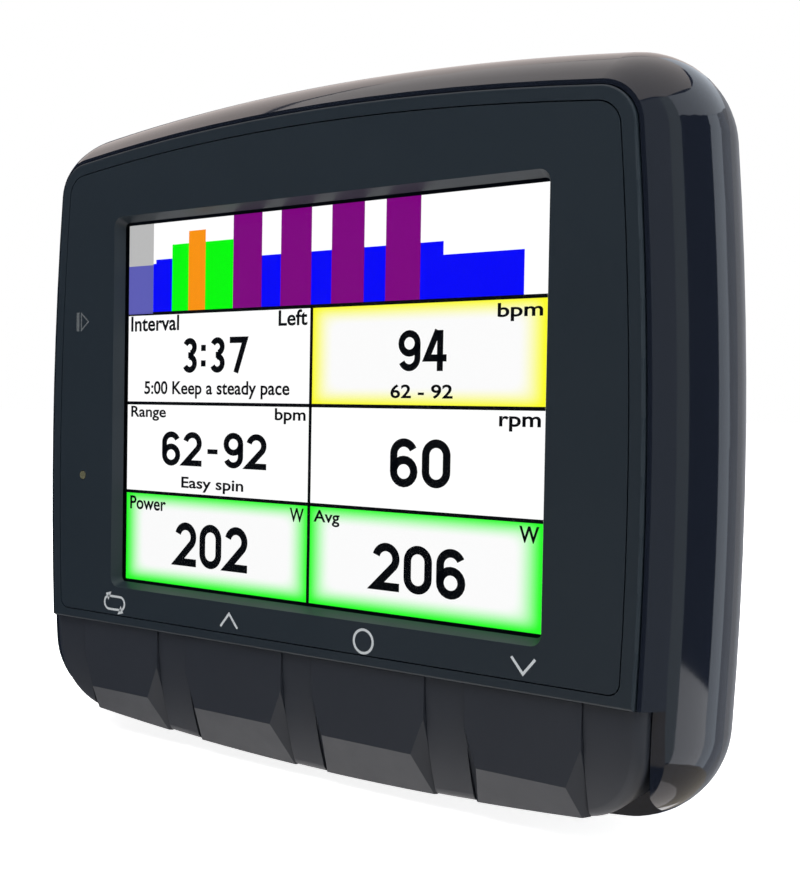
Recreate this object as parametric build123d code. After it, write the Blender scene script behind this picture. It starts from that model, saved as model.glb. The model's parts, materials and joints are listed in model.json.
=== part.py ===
from build123d import *
import os
from math import asin, cos, sin, sqrt

# Cycling computer: a flat slate front with a landscape colour display, a bar of four wedge
# buttons under it, and a glossy rear housing with a quarter-turn mount on its back.
# Millimetres. +Z is up the screen, the screen faces -Y. The origin is the centre of the
# mount's flat end face. Depths are measured backwards from the front face.

# ---- overall size ---------------------------------------------------------------------------
WIDTH = 70.1            # widest section of the housing, across X
HEIGHT = 60.6           # the same section, along Z
BODY_DEPTH = 18.2       # front face to the housing's flat back
PUCK_HEIGHT = 2.8       # quarter-turn mount behind the housing
TOTAL_DEPTH = BODY_DEPTH + PUCK_HEIGHT

# ---- outline: four large arcs with rounded corners -------------------------------------------
TOP_ARC = 235.0
BOTTOM_ARC = 250.0
SIDE_ARC = 300.0
SIDE_ARC_Z = -4.0       # the body is widest a little below its middle
CORNER_R = 7.05

# ---- housing section: flared front, round back -----------------------------------------------
FLARE = 3.85            # how far the widest section stands outside the front face
RIM_DEPTH = 0.35        # front edge of the housing, just behind the front face
RIM_LAND = 0.45         # how far that edge stands outside the front face
FLARE_DEPTH = 7.9       # depth of the widest section
SHOULDER_TOP = 1.7      # front edge of the housing beside the bar, at the bezel
SHOULDER_LOW = 5.2      # and at the bottom of the housing
SHOULDER_RUN = 3.0      # it reaches this far below the bar
HALF_W = WIDTH / 2 - FLARE
HALF_H = HEIGHT / 2 - FLARE
FACE_CORNER = CORNER_R - FLARE
BACK_INSET = FACE_CORNER - 0.15     # edge of the flat back, in from the front face outline
WALL = 1.6
CAVITY_BACK = BODY_DEPTH - WALL
CAVITY_INSET = 1.5      # from the front face outline
CAVITY_STEP = 1.2       # the cavity narrows this far before its back, where the body rounds off
CAVITY_STEP_INSET = 3.0

# ---- ribs along the top edge -----------------------------------------------------------------
RIB_PITCH = 6.8
RIB_COUNT = 6
RIB_STEP = 0.35
RIB_FIRST_X = -26.4

# ---- front face ------------------------------------------------------------------------------
SCREEN_X = 0.45         # centre of the display
SCREEN_Z = 1.9
STEP_Z = SCREEN_Z - 21.05   # lower edge of the bezel, where the button bar starts
FIT = 0.1               # gap between fixed parts
BEZEL_DEPTH = 2.2
BEZEL_ROUND = 0.2
FACE_INSET = 1.1        # parting line of the faceplate, in from the bezel's edge
FACE_STEP_INSET = 0.85
FACE_LOWER_R = 1.0      # lower corners of the faceplate
FACE_T = 1.0
FACE_KERF = 0.1
VIEW_W = 45.2           # clear opening in the faceplate at the window
VIEW_H = 34.0
VIEW_TAPER = 25.0       # slope of the opening's walls, degrees
VIEW_CORNER = 0.5
WINDOW_T = 0.5
LCD_W, LCD_H, LCD_T = 47.6, 35.2, 1.2
BACKLIGHT_T = 1.1
TRAY_T = 0.3
TRAY_BACK = FACE_T + WINDOW_T + LCD_T + BACKLIGHT_T + TRAY_T
SENSOR_X, SENSOR_Z, SENSOR_R = -26.75, SCREEN_Z - 7.05, 0.4
SEAL_INSET = 0.95
SEAL_GROOVE = 0.75

# ---- button bar ------------------------------------------------------------------------------
BAR_GROW = 0.65         # the bar is a little wider than the bezel
BAR_TOP_DEPTH = 0.6
BAR_BOTTOM_DEPTH = 3.2
BAR_HEIGHT = 10.6
BAR_BACK = 5.6
BAR_OPEN = 6.0          # the bar's seat runs out through the bottom of the housing
BAR_LIFT = 0.55         # lower edge of the bar, in from the housing behind it
BAR_CORNER = 6.0        # its lower corners, seen from the front
STRIP_FRONT = 4.9       # strip behind the pads' lower edges that ties the bar together
END_ROUND = 1.0
PAD_X = (-21.7, -7.35, 7.35, 21.7)
PAD_W = (9.9, 11.3, 11.3, 9.9)
PAD_NODES = ("lap_button", "up_button", "select_button", "down_button")
PAD_FACE_DEPTH = 0.45
PAD_FACE_HEIGHT = 6.45
PAD_FOOT_DEPTH = 2.9    # lower edge of the bevel under each pad's face
PAD_NARROW = 1.15       # the side facets narrow the face this much at its lower corners
PAD_APEX = 3.4          # the side facets start this far below the bezel
PAD_GAP = 0.05
PAD_TRAVEL = 0.5
PAD_BACK = 6.5
PAD_FLANGE_T = 0.6
PAD_FLANGE = 0.5
STEM_INSET = 0.9        # the stems pass the strip inside this line
DOME_Z = STEP_Z - 3.4
DOME_R, DOME_T = 2.0, 0.35
MEMBRANE_FRONT = PAD_BACK + PAD_TRAVEL + 0.1
MEMBRANE_T = 0.4
KEY_BOARD_T = 0.8
BAY_INSET = 0.6
BAY_FLOOR = 9.2
KEY_BOARD_FRONT = BAY_FLOOR - KEY_BOARD_T
FLOOR_T = 1.2
WALL_TOP_Z = STEP_Z + 1.75      # partition between the display bay and the button bay

# ---- inner parts -----------------------------------------------------------------------------
CHASSIS_T = 0.8
CHASSIS_BOTTOM = WALL_TOP_Z + 1.5
POST_R = 2.2
POST_POINTS = ((-23.5, 18.5), (23.5, 18.5), (-23.5, -12.0), (23.5, -12.0))
BOARD_FRONT = 6.4
BOARD_T = 1.0
BOARD_BACK = BOARD_FRONT + BOARD_T
BOARD_W, BOARD_TOP, BOARD_BOTTOM = 56.0, 21.4, -15.5
TAB_W, TAB_TOP = 34.0, 24.0     # the board reaches higher in the middle
BATTERY_W, BATTERY_H, BATTERY_T = 38.0, 26.0, 5.2
BATTERY_Z = -1.6
BATTERY_PAD_T = 1.4
BATTERY_FRONT = CAVITY_BACK - BATTERY_PAD_T - BATTERY_T
ANTENNA_Z, ANTENNA_SIZE, ANTENNA_T = 17.9, 12.0, 4.0
VENT_X, VENT_Z = -20.0, -18.0
VENT_HOLE_R, VENT_R, VENT_T = 0.6, 2.0, 0.3
RIBBON_X, RIBBON_W, RIBBON_T = -13.0, 7.0, 0.2
RIBBON_SLOT_W, RIBBON_SLOT_H, RIBBON_SLOT_T = 8.4, 6.0, 1.1
SCREW_R = 0.9
HEAD_R, HEAD_T = 1.9, 1.2
SCREW_LENGTH = 7.0
HEAD_PROUD = 0.4
HOLE_GAP = 0.15         # clearance hole, on the radius
THREAD_GAP = 0.02       # threaded hole, on the radius

# ---- side button -----------------------------------------------------------------------------
SIDE_Z = SCREEN_Z + 7.75
SIDE_DEPTH = 8.8
SIDE_LENGTH, SIDE_WIDTH = 10.0, 3.6
SIDE_PROUD = 0.6
SIDE_TRAVEL = 0.5
SIDE_GAP = 0.15
SIDE_LIP_T = 0.4        # lip that keeps the button in the wall
SWITCH_X = -BOARD_W / 2

# ---- port on the back ------------------------------------------------------------------------
PORT_Z = 7.2 - HALF_H
FLAP_W, FLAP_H, FLAP_T = 12.0, 5.6, 1.2
FLAP_GAP = 0.15
PORT_W, PORT_H = 7.6, 2.6
SOCKET_DEPTH = 5.0
SOCKET_BACK = BODY_DEPTH - FLAP_T - FLAP_GAP
USB_BOARD_T = 0.8
USB_BOARD_FRONT = SOCKET_BACK - SOCKET_DEPTH + 1.2
USB_BOARD_BACK = USB_BOARD_FRONT + USB_BOARD_T
USB_BOARD_W, USB_BOARD_H = 18.0, 8.8
USB_POST_X, USB_POST_R = 7.0, 1.2
USB_POST_DROP = 3.6     # the posts stand this far below the socket
NUB_W, NUB_H, NUB_L = 5.0, 1.0, 0.8

# ---- quarter-turn mount ----------------------------------------------------------------------
NECK_R = 11.3
LUG_R = 14.2
LUG_T = 1.5
LUG_WIDTH = 13.0
MOUNT_SCREW_PCD = 15.0
MOUNT_SCREW_LENGTH = 2.6


def at(depth):
    """Y of a depth behind the front face."""
    return depth - TOTAL_DEPTH


def slab(sketch, front, back, taper=0.0):
    """A sketch drawn in X and Z, extruded from one depth to another."""
    plane = Plane.XZ.offset(-at(back))
    return extrude(plane * sketch, amount=back - front, taper=taper)


def block(x, z, width, height, front, back):
    """A rectangular block about x, z between two depths."""
    return slab(Pos(x, z) * Rectangle(width, height), front, back)


def disc(x, z, radius, front, back):
    """A cylinder along Y between two depths."""
    return slab(Pos(x, z) * Circle(radius), front, back)


def outline(grow, drop=0.0):
    """The front face's outline, grown outwards, with its lower edge dropped if asked."""
    top = Pos(0, HALF_H - TOP_ARC) * Circle(TOP_ARC + grow)
    bottom = Pos(0, BOTTOM_ARC - HALF_H - drop) * Circle(BOTTOM_ARC + grow)
    right = Pos(HALF_W - SIDE_ARC, SIDE_ARC_Z) * Circle(SIDE_ARC + grow)
    left = Pos(SIDE_ARC - HALF_W, SIDE_ARC_Z) * Circle(SIDE_ARC + grow)
    shape = top & bottom & right & left
    return fillet(shape.vertices(), FACE_CORNER + grow)


def above(z):
    """A region that covers everything above z."""
    return Pos(0, z + HEIGHT) * Rectangle(2 * WIDTH, 2 * HEIGHT)


def below(z):
    """A region that covers everything below z."""
    return Pos(0, z - HEIGHT) * Rectangle(2 * WIDTH, 2 * HEIGHT)


def leaving_arc(run, rise):
    """Radius of the arc that leaves a line and comes away from it by rise over run."""
    return (run * run + rise * rise) / (2 * rise)


def grown_at(depth):
    """How far the housing stands outside the front outline at a depth in the flare."""
    radius = leaving_arc(FLARE_DEPTH - RIM_DEPTH, FLARE - RIM_LAND)
    run = FLARE_DEPTH - depth
    return FLARE - radius + sqrt(radius * radius - run * run)


def housing_blank():
    """The housing's outer shape, solid: a section swept round the outline, and its core."""
    path = (Plane.XZ.offset(-at(FLARE_DEPTH)) * outline(0)).face().outer_wire()
    start = path @ 0
    frame = Plane(origin=start, x_dir=(0, 1, 0), z_dir=path % 0)
    outward = 1 if frame.y_dir.dot(start - Vector(0, start.Y, 0)) > 0 else -1
    front = RIM_DEPTH - FLARE_DEPTH
    middle = front / 2
    back = BODY_DEPTH - FLARE_DEPTH
    radius = leaving_arc(back, FLARE + BACK_INSET)
    turn = asin(back / radius) / 2
    section = [
        ThreePointArc(
            (front, outward * RIM_LAND),
            (middle, outward * grown_at(middle + FLARE_DEPTH)),
            (0, outward * FLARE),
        ),
        ThreePointArc(
            (0, outward * FLARE),
            (radius * sin(turn), outward * (FLARE - radius + radius * cos(turn))),
            (back, -outward * BACK_INSET),
        ),
        Polyline(
            (back, -outward * BACK_INSET),
            (front, -outward * BACK_INSET),
            (front, outward * RIM_LAND),
        ),
    ]
    ring = sweep(frame * make_face(section), path=path)
    core = slab(outline(0.01 - BACK_INSET), RIM_DEPTH, BODY_DEPTH)
    return ring + core


def side_region(points, arc=None):
    """A YZ region from (z, depth) corners, extruded across the whole width."""
    corners = [(at(depth), z) for z, depth in points]
    lines = [Polyline(*corners)]
    if arc is None:
        lines.append(Line(corners[-1], corners[0]))
    else:
        lines.append(ThreePointArc(corners[-1], (at(arc[1]), arc[0]), corners[0]))
    face = Plane.YZ * make_face(lines)
    return extrude(face, amount=WIDTH, both=True)


def behind_bar_curve(start_depth, end_depth, height):
    """Everything behind a front that leaves the front plane at the bezel and falls away."""
    drop = end_depth - start_depth
    radius = leaving_arc(height, drop)
    half = height / 2
    mid_depth = start_depth + radius - sqrt(radius * radius - half * half)
    end_z = STEP_Z - height
    corners = [
        (STEP_Z, start_depth),
        (STEP_Z, BODY_DEPTH),
        (end_z, BODY_DEPTH),
        (end_z, end_depth),
    ]
    return side_region(corners, arc=(STEP_Z - half, mid_depth))


def bar_seat(grow):
    """The outline below the bezel, open towards the bottom."""
    return outline(grow, drop=BAR_OPEN) & below(STEP_Z)


def bar_outline(inset=0.0):
    """Front view of the button bar; its lower edge follows the housing behind it."""
    lower_arc = BOTTOM_ARC + grown_at(BAR_BACK) - BAR_LIFT - inset
    flush = Pos(0, BOTTOM_ARC - HALF_H) * Circle(lower_arc)
    shape = bar_seat(BAR_GROW - inset) & flush & below(STEP_Z - FIT)
    corners = shape.vertices().group_by(Axis.Y)[0]
    return fillet(corners, BAR_CORNER - inset)


def pad_outline(index, gap=0.0):
    """Front view of one pad, run out through the bottom of the bar."""
    top = STEP_Z - FIT
    return Pos(PAD_X[index], top - HEIGHT / 2) * Rectangle(PAD_W[index] + 2 * gap, HEIGHT)


def facet_cut(index, side):
    """What the side facet of a pad takes away: everything outside its sloping plane."""
    edge = PAD_X[index] + side * PAD_W[index] / 2
    apex = Vector(edge, at(PAD_FACE_DEPTH), STEP_Z - PAD_APEX)
    corner = Vector(edge - side * PAD_NARROW, at(PAD_FACE_DEPTH), STEP_Z - PAD_FACE_HEIGHT)
    foot = Vector(edge, at(PAD_FOOT_DEPTH), STEP_Z - BAR_HEIGHT)
    normal = (corner - apex).cross(foot - apex) * side
    facet = Plane(origin=apex, x_dir=foot - apex, z_dir=normal)
    return facet * Box(HEIGHT, HEIGHT, WIDTH, align=(Align.CENTER, Align.CENTER, Align.MIN))


# ---- housing ---------------------------------------------------------------------------------
def port_recess():
    """Shallow seat in the back for the port cover."""
    width = FLAP_W + 2 * FLAP_GAP
    height = FLAP_H + 2 * FLAP_GAP
    return block(0, PORT_Z, width, height, SOCKET_BACK, BODY_DEPTH + 1)


def top_edge_z(x):
    """Height of the housing's widest section at x, along its top arc."""
    radius = TOP_ARC + FLARE
    return HALF_H - TOP_ARC + sqrt(radius * radius - x * x)


def rib_cuts():
    """Shallow saw-tooth facets along the top edge."""
    cuts = []
    for k in range(RIB_COUNT):
        low = RIB_FIRST_X + k * RIB_PITCH
        high = low + RIB_PITCH
        tooth = make_face(
            Polyline(
                (low, top_edge_z(low) - RIB_STEP),
                (high, top_edge_z(high)),
                (high, top_edge_z(high) + 2),
                (low, top_edge_z(low) + 2),
                close=True,
            )
        )
        cuts.append(slab(tooth, RIM_DEPTH, BODY_DEPTH))
    return cuts


def side_button_hole(gap):
    """Prism for the side button, run through the left wall."""
    plane = Plane(origin=(-WIDTH, at(SIDE_DEPTH), SIDE_Z), x_dir=(0, 0, 1), z_dir=(1, 0, 0))
    pill = SlotOverall(SIDE_LENGTH + 2 * gap, SIDE_WIDTH + 2 * gap)
    return extrude(plane * pill, amount=WIDTH)


def rear_housing():
    body = housing_blank()
    # the front edge drops away below the bezel, beside the ends of the button bar
    shoulder = behind_bar_curve(SHOULDER_TOP, SHOULDER_LOW, BAR_HEIGHT + SHOULDER_RUN)
    lower = slab(below(STEP_Z), 0, BODY_DEPTH)
    body -= lower - shoulder
    body -= slab(outline(FIT) & above(STEP_Z), 0, BEZEL_DEPTH)
    body -= slab(bar_seat(BAR_GROW + FIT), 0, BAR_BACK)
    # display bay, button bay, and the space behind both
    step_depth = CAVITY_BACK - CAVITY_STEP
    body -= slab(outline(-CAVITY_INSET) & above(WALL_TOP_Z), BEZEL_DEPTH, step_depth)
    body -= slab(outline(-BAY_INSET) & below(STEP_Z), BAR_BACK, BAY_FLOOR)
    body -= slab(outline(-CAVITY_INSET), BAY_FLOOR + FLOOR_T, step_depth)
    body -= slab(outline(-CAVITY_STEP_INSET), step_depth, CAVITY_BACK)
    body -= seal_ring(SEAL_GROOVE, BEZEL_DEPTH + 0.55)
    # slot in the partition for the keypad's ribbon
    slot_front = BAY_FLOOR - RIBBON_SLOT_T
    body -= block(RIBBON_X, STEP_Z, RIBBON_SLOT_W, RIBBON_SLOT_H, slot_front, BAY_FLOOR)
    for x in (-USB_POST_X, USB_POST_X):
        body += disc(x, PORT_Z - USB_POST_DROP, USB_POST_R, USB_BOARD_BACK, CAVITY_BACK + FIT)
    body -= rib_cuts()
    body -= side_button_hole(SIDE_GAP)
    body -= port_recess()
    body -= block(0, PORT_Z, PORT_W + 0.2, PORT_H + 0.2, CAVITY_BACK - 1, BODY_DEPTH)
    body -= disc(VENT_X, VENT_Z, VENT_HOLE_R, CAVITY_BACK - 1, BODY_DEPTH + 1)
    for x, z in POST_POINTS:
        body -= disc(x, z, SCREW_R + HOLE_GAP, CAVITY_BACK - 1, BODY_DEPTH + 1)
        body -= disc(x, z, HEAD_R + HOLE_GAP, BODY_DEPTH + HEAD_PROUD - HEAD_T, BODY_DEPTH + 1)
    for x, z in mount_screw_points():
        body -= disc(x, z, SCREW_R + THREAD_GAP, CAVITY_BACK - 1, BODY_DEPTH + 1)
    return body


def seal_ring(width, back):
    """Closed loop under the bezel's edge, square in section."""
    near = SEAL_INSET - width / 2
    far = SEAL_INSET + width / 2
    ring = (outline(-near) & above(STEP_Z + near)) - (outline(-far) & above(STEP_Z + far))
    return slab(ring, BEZEL_DEPTH - 0.2, back)


def housing_seal():
    return seal_ring(SEAL_GROOVE - 0.1, BEZEL_DEPTH + 0.5)


# ---- front face ------------------------------------------------------------------------------
def face_outline(kerf):
    """Outline of the faceplate inside the bezel's rim."""
    shape = outline(-FACE_INSET - kerf) & above(STEP_Z + FACE_STEP_INSET + kerf)
    lower = shape.vertices().group_by(Axis.Y)[0]
    return fillet(lower, FACE_LOWER_R - kerf)


def front_bezel():
    body = slab(outline(0) & above(STEP_Z), 0, BEZEL_DEPTH)
    front_edges = body.faces().sort_by(Axis.Y)[0].edges()
    body = fillet(front_edges, BEZEL_ROUND)
    body -= slab(face_outline(0), -1, FACE_T)
    body -= block(SCREEN_X, SCREEN_Z, LCD_W + 0.8, LCD_H + 1.4, 0, BEZEL_DEPTH + 1)
    body -= disc(SENSOR_X, SENSOR_Z, SENSOR_R + 0.1, 0, BEZEL_DEPTH + 1)
    body -= seal_ring(SEAL_GROOVE, BEZEL_DEPTH)
    return body


def faceplate():
    body = slab(face_outline(FACE_KERF), 0, FACE_T)
    opening = Pos(SCREEN_X, SCREEN_Z) * RectangleRounded(VIEW_W, VIEW_H, VIEW_CORNER)
    body -= slab(opening, -0.5, FACE_T, taper=-VIEW_TAPER)
    body -= disc(SENSOR_X, SENSOR_Z, SENSOR_R + 0.05, -1, FACE_T + 1)
    return body


def display_window():
    return block(SCREEN_X, SCREEN_Z, LCD_W + 0.4, LCD_H + 1.0, FACE_T, FACE_T + WINDOW_T)


def lcd_panel():
    front = FACE_T + WINDOW_T
    return block(SCREEN_X, SCREEN_Z, LCD_W, LCD_H, front, front + LCD_T)


def backlight():
    front = FACE_T + WINDOW_T + LCD_T
    return block(SCREEN_X, SCREEN_Z, LCD_W, LCD_H, front, front + BACKLIGHT_T)


def display_tray():
    """Sheet tray behind the backlight, open at the bottom for the ribbon."""
    wall = TRAY_T + 0.05
    lip = BEZEL_DEPTH + 0.1
    body = block(SCREEN_X, SCREEN_Z, LCD_W + 2 * wall, LCD_H + 2 * wall, lip, TRAY_BACK)
    body -= block(SCREEN_X, SCREEN_Z, LCD_W + 0.1, LCD_H + 0.1, 0, TRAY_BACK - TRAY_T)
    body -= block(SCREEN_X, SCREEN_Z - LCD_H / 2, 18, 2, 0, TRAY_BACK - TRAY_T)
    return body


def light_pipe():
    return disc(SENSOR_X, SENSOR_Z, SENSOR_R, 0, BOARD_FRONT - 1.0)


# ---- button bar ------------------------------------------------------------------------------
def stem_region(index, gap=0.0):
    """The part of a pad's outline that runs back past the strip."""
    return pad_outline(index, gap) & outline(gap - STEM_INSET)


def button_bar():
    """Rubber bar between and behind the pads, curved away towards the bottom."""
    body = slab(bar_outline(), 0, BAR_BACK)
    body &= behind_bar_curve(BAR_TOP_DEPTH, BAR_BOTTOM_DEPTH, BAR_HEIGHT + 1.0)
    front = body.faces().sort_by(Axis.Y)[0]
    ends = [edge for edge in front.edges() if edge.bounding_box().size.Z > 3]
    body = fillet(ends, END_ROUND)
    for index in range(len(PAD_X)):
        body -= slab(pad_outline(index, PAD_GAP), -1, STRIP_FRONT)
        body -= slab(stem_region(index, PAD_GAP), -1, BAR_BACK + 1)
    return body


def pad(index):
    """One button: a wedge with a flat front, a lower bevel and a facet at each side."""
    front_part = pad_outline(index) & bar_outline(0.05)
    body = slab(front_part, 0, STRIP_FRONT - PAD_TRAVEL - FIT)
    body += slab(stem_region(index), 0, PAD_BACK)
    profile = side_region(
        [
            (STEP_Z, PAD_FACE_DEPTH),
            (STEP_Z, PAD_BACK),
            (STEP_Z - BAR_HEIGHT - 1, PAD_BACK),
            (STEP_Z - BAR_HEIGHT - 1, PAD_FOOT_DEPTH),
            (STEP_Z - BAR_HEIGHT, PAD_FOOT_DEPTH),
            (STEP_Z - PAD_FACE_HEIGHT, PAD_FACE_DEPTH),
        ]
    )
    body &= profile
    for side in (-1, 1):
        body -= facet_cut(index, side)
    flange_h = PAD_FACE_HEIGHT
    flange_z = STEP_Z - FIT - flange_h / 2
    flange_w = PAD_W[index] + 2 * PAD_FLANGE
    flange = Pos(PAD_X[index], flange_z) * Rectangle(flange_w, flange_h)
    return body + slab(flange & outline(-1.0), PAD_BACK - PAD_FLANGE_T, PAD_BACK)


def bay_region(inset):
    """The button bay, in from its walls."""
    return outline(-BAY_INSET - inset) & below(STEP_Z - inset)


def keypad_membrane():
    body = slab(bay_region(0.15), MEMBRANE_FRONT, MEMBRANE_FRONT + MEMBRANE_T)
    for x in PAD_X:
        body += disc(x, DOME_Z, 1.0, MEMBRANE_FRONT, KEY_BOARD_FRONT - DOME_T)
    return body


def dome_switches():
    front = KEY_BOARD_FRONT - DOME_T
    return [disc(x, DOME_Z, DOME_R, front, KEY_BOARD_FRONT) for x in PAD_X]


def keypad_board():
    return slab(bay_region(0.15), KEY_BOARD_FRONT, BAY_FLOOR)


# ---- electronics -----------------------------------------------------------------------------
def chassis():
    """Plate behind the display with four posts that the housing screws reach."""
    back = TRAY_BACK + CHASSIS_T
    body = slab(outline(-CAVITY_INSET - 0.3) & above(CHASSIS_BOTTOM), TRAY_BACK, back)
    body -= block(SCREEN_X, CHASSIS_BOTTOM, 17, 3, 0, back + 1)
    body -= disc(SENSOR_X, SENSOR_Z, SENSOR_R + 0.2, 0, back + 1)
    for x, z in POST_POINTS:
        body += disc(x, z, POST_R + 0.9, TRAY_BACK, BOARD_FRONT)
        body += disc(x, z, POST_R, TRAY_BACK, CAVITY_BACK)
        body -= disc(x, z, SCREW_R + THREAD_GAP, CAVITY_BACK - SCREW_LENGTH, CAVITY_BACK + 1)
    return body


def main_board():
    middle = (BOARD_TOP + BOARD_BOTTOM) / 2
    body = block(0, middle, BOARD_W, BOARD_TOP - BOARD_BOTTOM, BOARD_FRONT, BOARD_BACK)
    tab_h = TAB_TOP - middle
    body += block(0, middle + tab_h / 2, TAB_W, tab_h, BOARD_FRONT, BOARD_BACK)
    for x, z in POST_POINTS:
        body -= disc(x, z, POST_R + 0.3, 0, BODY_DEPTH)
    return body


def processor():
    return block(-5, -1, 10, 10, BOARD_BACK, BOARD_BACK + 1.0)


def shield_can():
    body = block(-5, -1, 16, 14, BOARD_BACK, BOARD_BACK + 1.8)
    return body - block(-5, -1, 15.6, 13.6, BOARD_BACK - 1, BOARD_BACK + 1.6)


def satellite_antenna():
    back = BOARD_BACK + ANTENNA_T
    return block(0, ANTENNA_Z, ANTENNA_SIZE, ANTENNA_SIZE, BOARD_BACK, back)


def buzzer():
    return disc(12.0, 0.0, 4.5, BOARD_BACK, BOARD_BACK + 1.9)


def pressure_sensor():
    return block(-20, -5, 2.5, 2.5, BOARD_BACK, BOARD_BACK + 1.0)


def light_sensor():
    return block(SENSOR_X, SENSOR_Z, 2.0, 2.0, BOARD_FRONT - 0.8, BOARD_FRONT)


def side_switch():
    return block(SWITCH_X + 1.3, SIDE_Z, 2.6, 4.4, BOARD_BACK, BOARD_BACK + 2.8)


def flex_connector():
    return block(SCREEN_X, BOARD_BOTTOM + 2, 17, 2, BOARD_BACK, BOARD_BACK + 1.2)


def display_flex():
    """Ribbon from the display, round the chassis's lower edge to the board."""
    front = FACE_T + WINDOW_T + LCD_T + 0.2
    back = BOARD_BACK + 0.5
    panel_edge = SCREEN_Z - LCD_H / 2
    fold = panel_edge - 0.7
    reach = BOARD_BOTTOM + 1
    body = block(SCREEN_X, (panel_edge + fold) / 2, 15, panel_edge - fold, front, front + 0.2)
    body += block(SCREEN_X, fold + 0.1, 15, 0.2, front, back)
    body += block(SCREEN_X, (fold + reach) / 2, 15, reach - fold, back - 0.2, back)
    return body


def keypad_flex():
    """Ribbon from the keypad board through the partition."""
    bottom = STEP_Z - 0.15
    top = BOARD_BOTTOM + 0.2
    front = KEY_BOARD_FRONT - RIBBON_T
    return block(RIBBON_X, (top + bottom) / 2, RIBBON_W, top - bottom, front, KEY_BOARD_FRONT)


def keypad_connector():
    return block(RIBBON_X, BOARD_BOTTOM + 1.3, 8, 2.2, BOARD_BACK, BOARD_BACK + 1.3)


def battery():
    body = block(0, BATTERY_Z, BATTERY_W, BATTERY_H, BATTERY_FRONT, BATTERY_FRONT + BATTERY_T)
    return fillet(body.edges().filter_by(Axis.Z), 1.6)


def battery_pad():
    front = CAVITY_BACK - BATTERY_PAD_T
    return block(0, BATTERY_Z, BATTERY_W - 8, BATTERY_H - 8, front, CAVITY_BACK)


def vent_membrane():
    return disc(VENT_X, VENT_Z, VENT_R, CAVITY_BACK - VENT_T, CAVITY_BACK)


# ---- side button and port --------------------------------------------------------------------
def start_button():
    wall_x = HALF_W + grown_at(SIDE_DEPTH)
    sag = (SIDE_Z - SIDE_ARC_Z) ** 2 / (2 * SIDE_ARC)
    outer = sag - wall_x - SIDE_PROUD
    inner = SWITCH_X - SIDE_TRAVEL - FIT
    length = inner - outer
    body = side_button_hole(0)
    body &= Pos((outer + inner) / 2, at(SIDE_DEPTH), SIDE_Z) * Box(length, 20, 20)
    cap = body.faces().sort_by(Axis.X)[0].edges()
    body = fillet(cap, 0.4)
    lip = Box(SIDE_LIP_T, SIDE_WIDTH - SIDE_LIP_T, SIDE_LENGTH + 3 * SIDE_LIP_T)
    return body + Pos(inner - SIDE_LIP_T / 2, at(SIDE_DEPTH), SIDE_Z) * lip


def usb_socket():
    front = USB_BOARD_BACK
    body = block(0, PORT_Z, PORT_W, PORT_H, front, SOCKET_BACK)
    return body - block(0, PORT_Z, PORT_W - 0.6, PORT_H - 0.6, front + 0.4, SOCKET_BACK + 1)


def usb_board():
    return block(0, PORT_Z - 0.5, USB_BOARD_W, USB_BOARD_H, USB_BOARD_FRONT, USB_BOARD_BACK)


def usb_cover():
    """Rubber flap flush with the back, with a round hinge edge at its lower end."""
    half = FLAP_T / 2
    low = PORT_Z - FLAP_H / 2
    middle = BODY_DEPTH - half
    body = block(0, PORT_Z + half / 2, FLAP_W, FLAP_H - half, BODY_DEPTH - FLAP_T, BODY_DEPTH)
    body += Pos(0, at(middle), low + half) * Rot(0, 90, 0) * Cylinder(half, FLAP_W)
    body += block(0, PORT_Z, NUB_W, NUB_H, BODY_DEPTH - FLAP_T - NUB_L, BODY_DEPTH - half)
    body -= block(0, PORT_Z + FLAP_H / 2, 4, 0.8, BODY_DEPTH - 0.4, BODY_DEPTH + 1)
    return body


# ---- mount and screws ------------------------------------------------------------------------
def mount_screw_points():
    reach = MOUNT_SCREW_PCD / 2 * sqrt(0.5)
    return [(sx * reach, sz * reach) for sx in (-1, 1) for sz in (-1, 1)]


def mount_puck():
    """Quarter-turn mount: a round neck with two lugs at its end."""
    body = disc(0, 0, NECK_R, BODY_DEPTH, TOTAL_DEPTH)
    lugs = Circle(LUG_R) & Rectangle(LUG_WIDTH, 3 * LUG_R)
    body += slab(lugs, TOTAL_DEPTH - LUG_T, TOTAL_DEPTH)
    body = chamfer(body.faces().sort_by(Axis.Y)[-1].edges(), 0.3)
    for x, z in mount_screw_points():
        body -= disc(x, z, SCREW_R + HOLE_GAP, 0, TOTAL_DEPTH + 1)
        body -= disc(x, z, HEAD_R + HOLE_GAP, TOTAL_DEPTH - HEAD_T - 0.3, TOTAL_DEPTH + 1)
    return body


def screw(x, z, head_top, length):
    """Pan-head screw driven towards the front, with a cross recess."""
    body = disc(x, z, HEAD_R, head_top - HEAD_T, head_top)
    body += disc(x, z, SCREW_R, head_top - HEAD_T - length, head_top - HEAD_T)
    body -= block(x, z, 2.2, 0.45, head_top - 0.7, head_top + 1)
    body -= block(x, z, 0.45, 2.2, head_top - 0.7, head_top + 1)
    return body


def housing_screws():
    return [screw(x, z, BODY_DEPTH + HEAD_PROUD, SCREW_LENGTH) for x, z in POST_POINTS]


def mount_screws():
    top = TOTAL_DEPTH - 0.3
    return [screw(x, z, top, MOUNT_SCREW_LENGTH) for x, z in mount_screw_points()]


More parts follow.
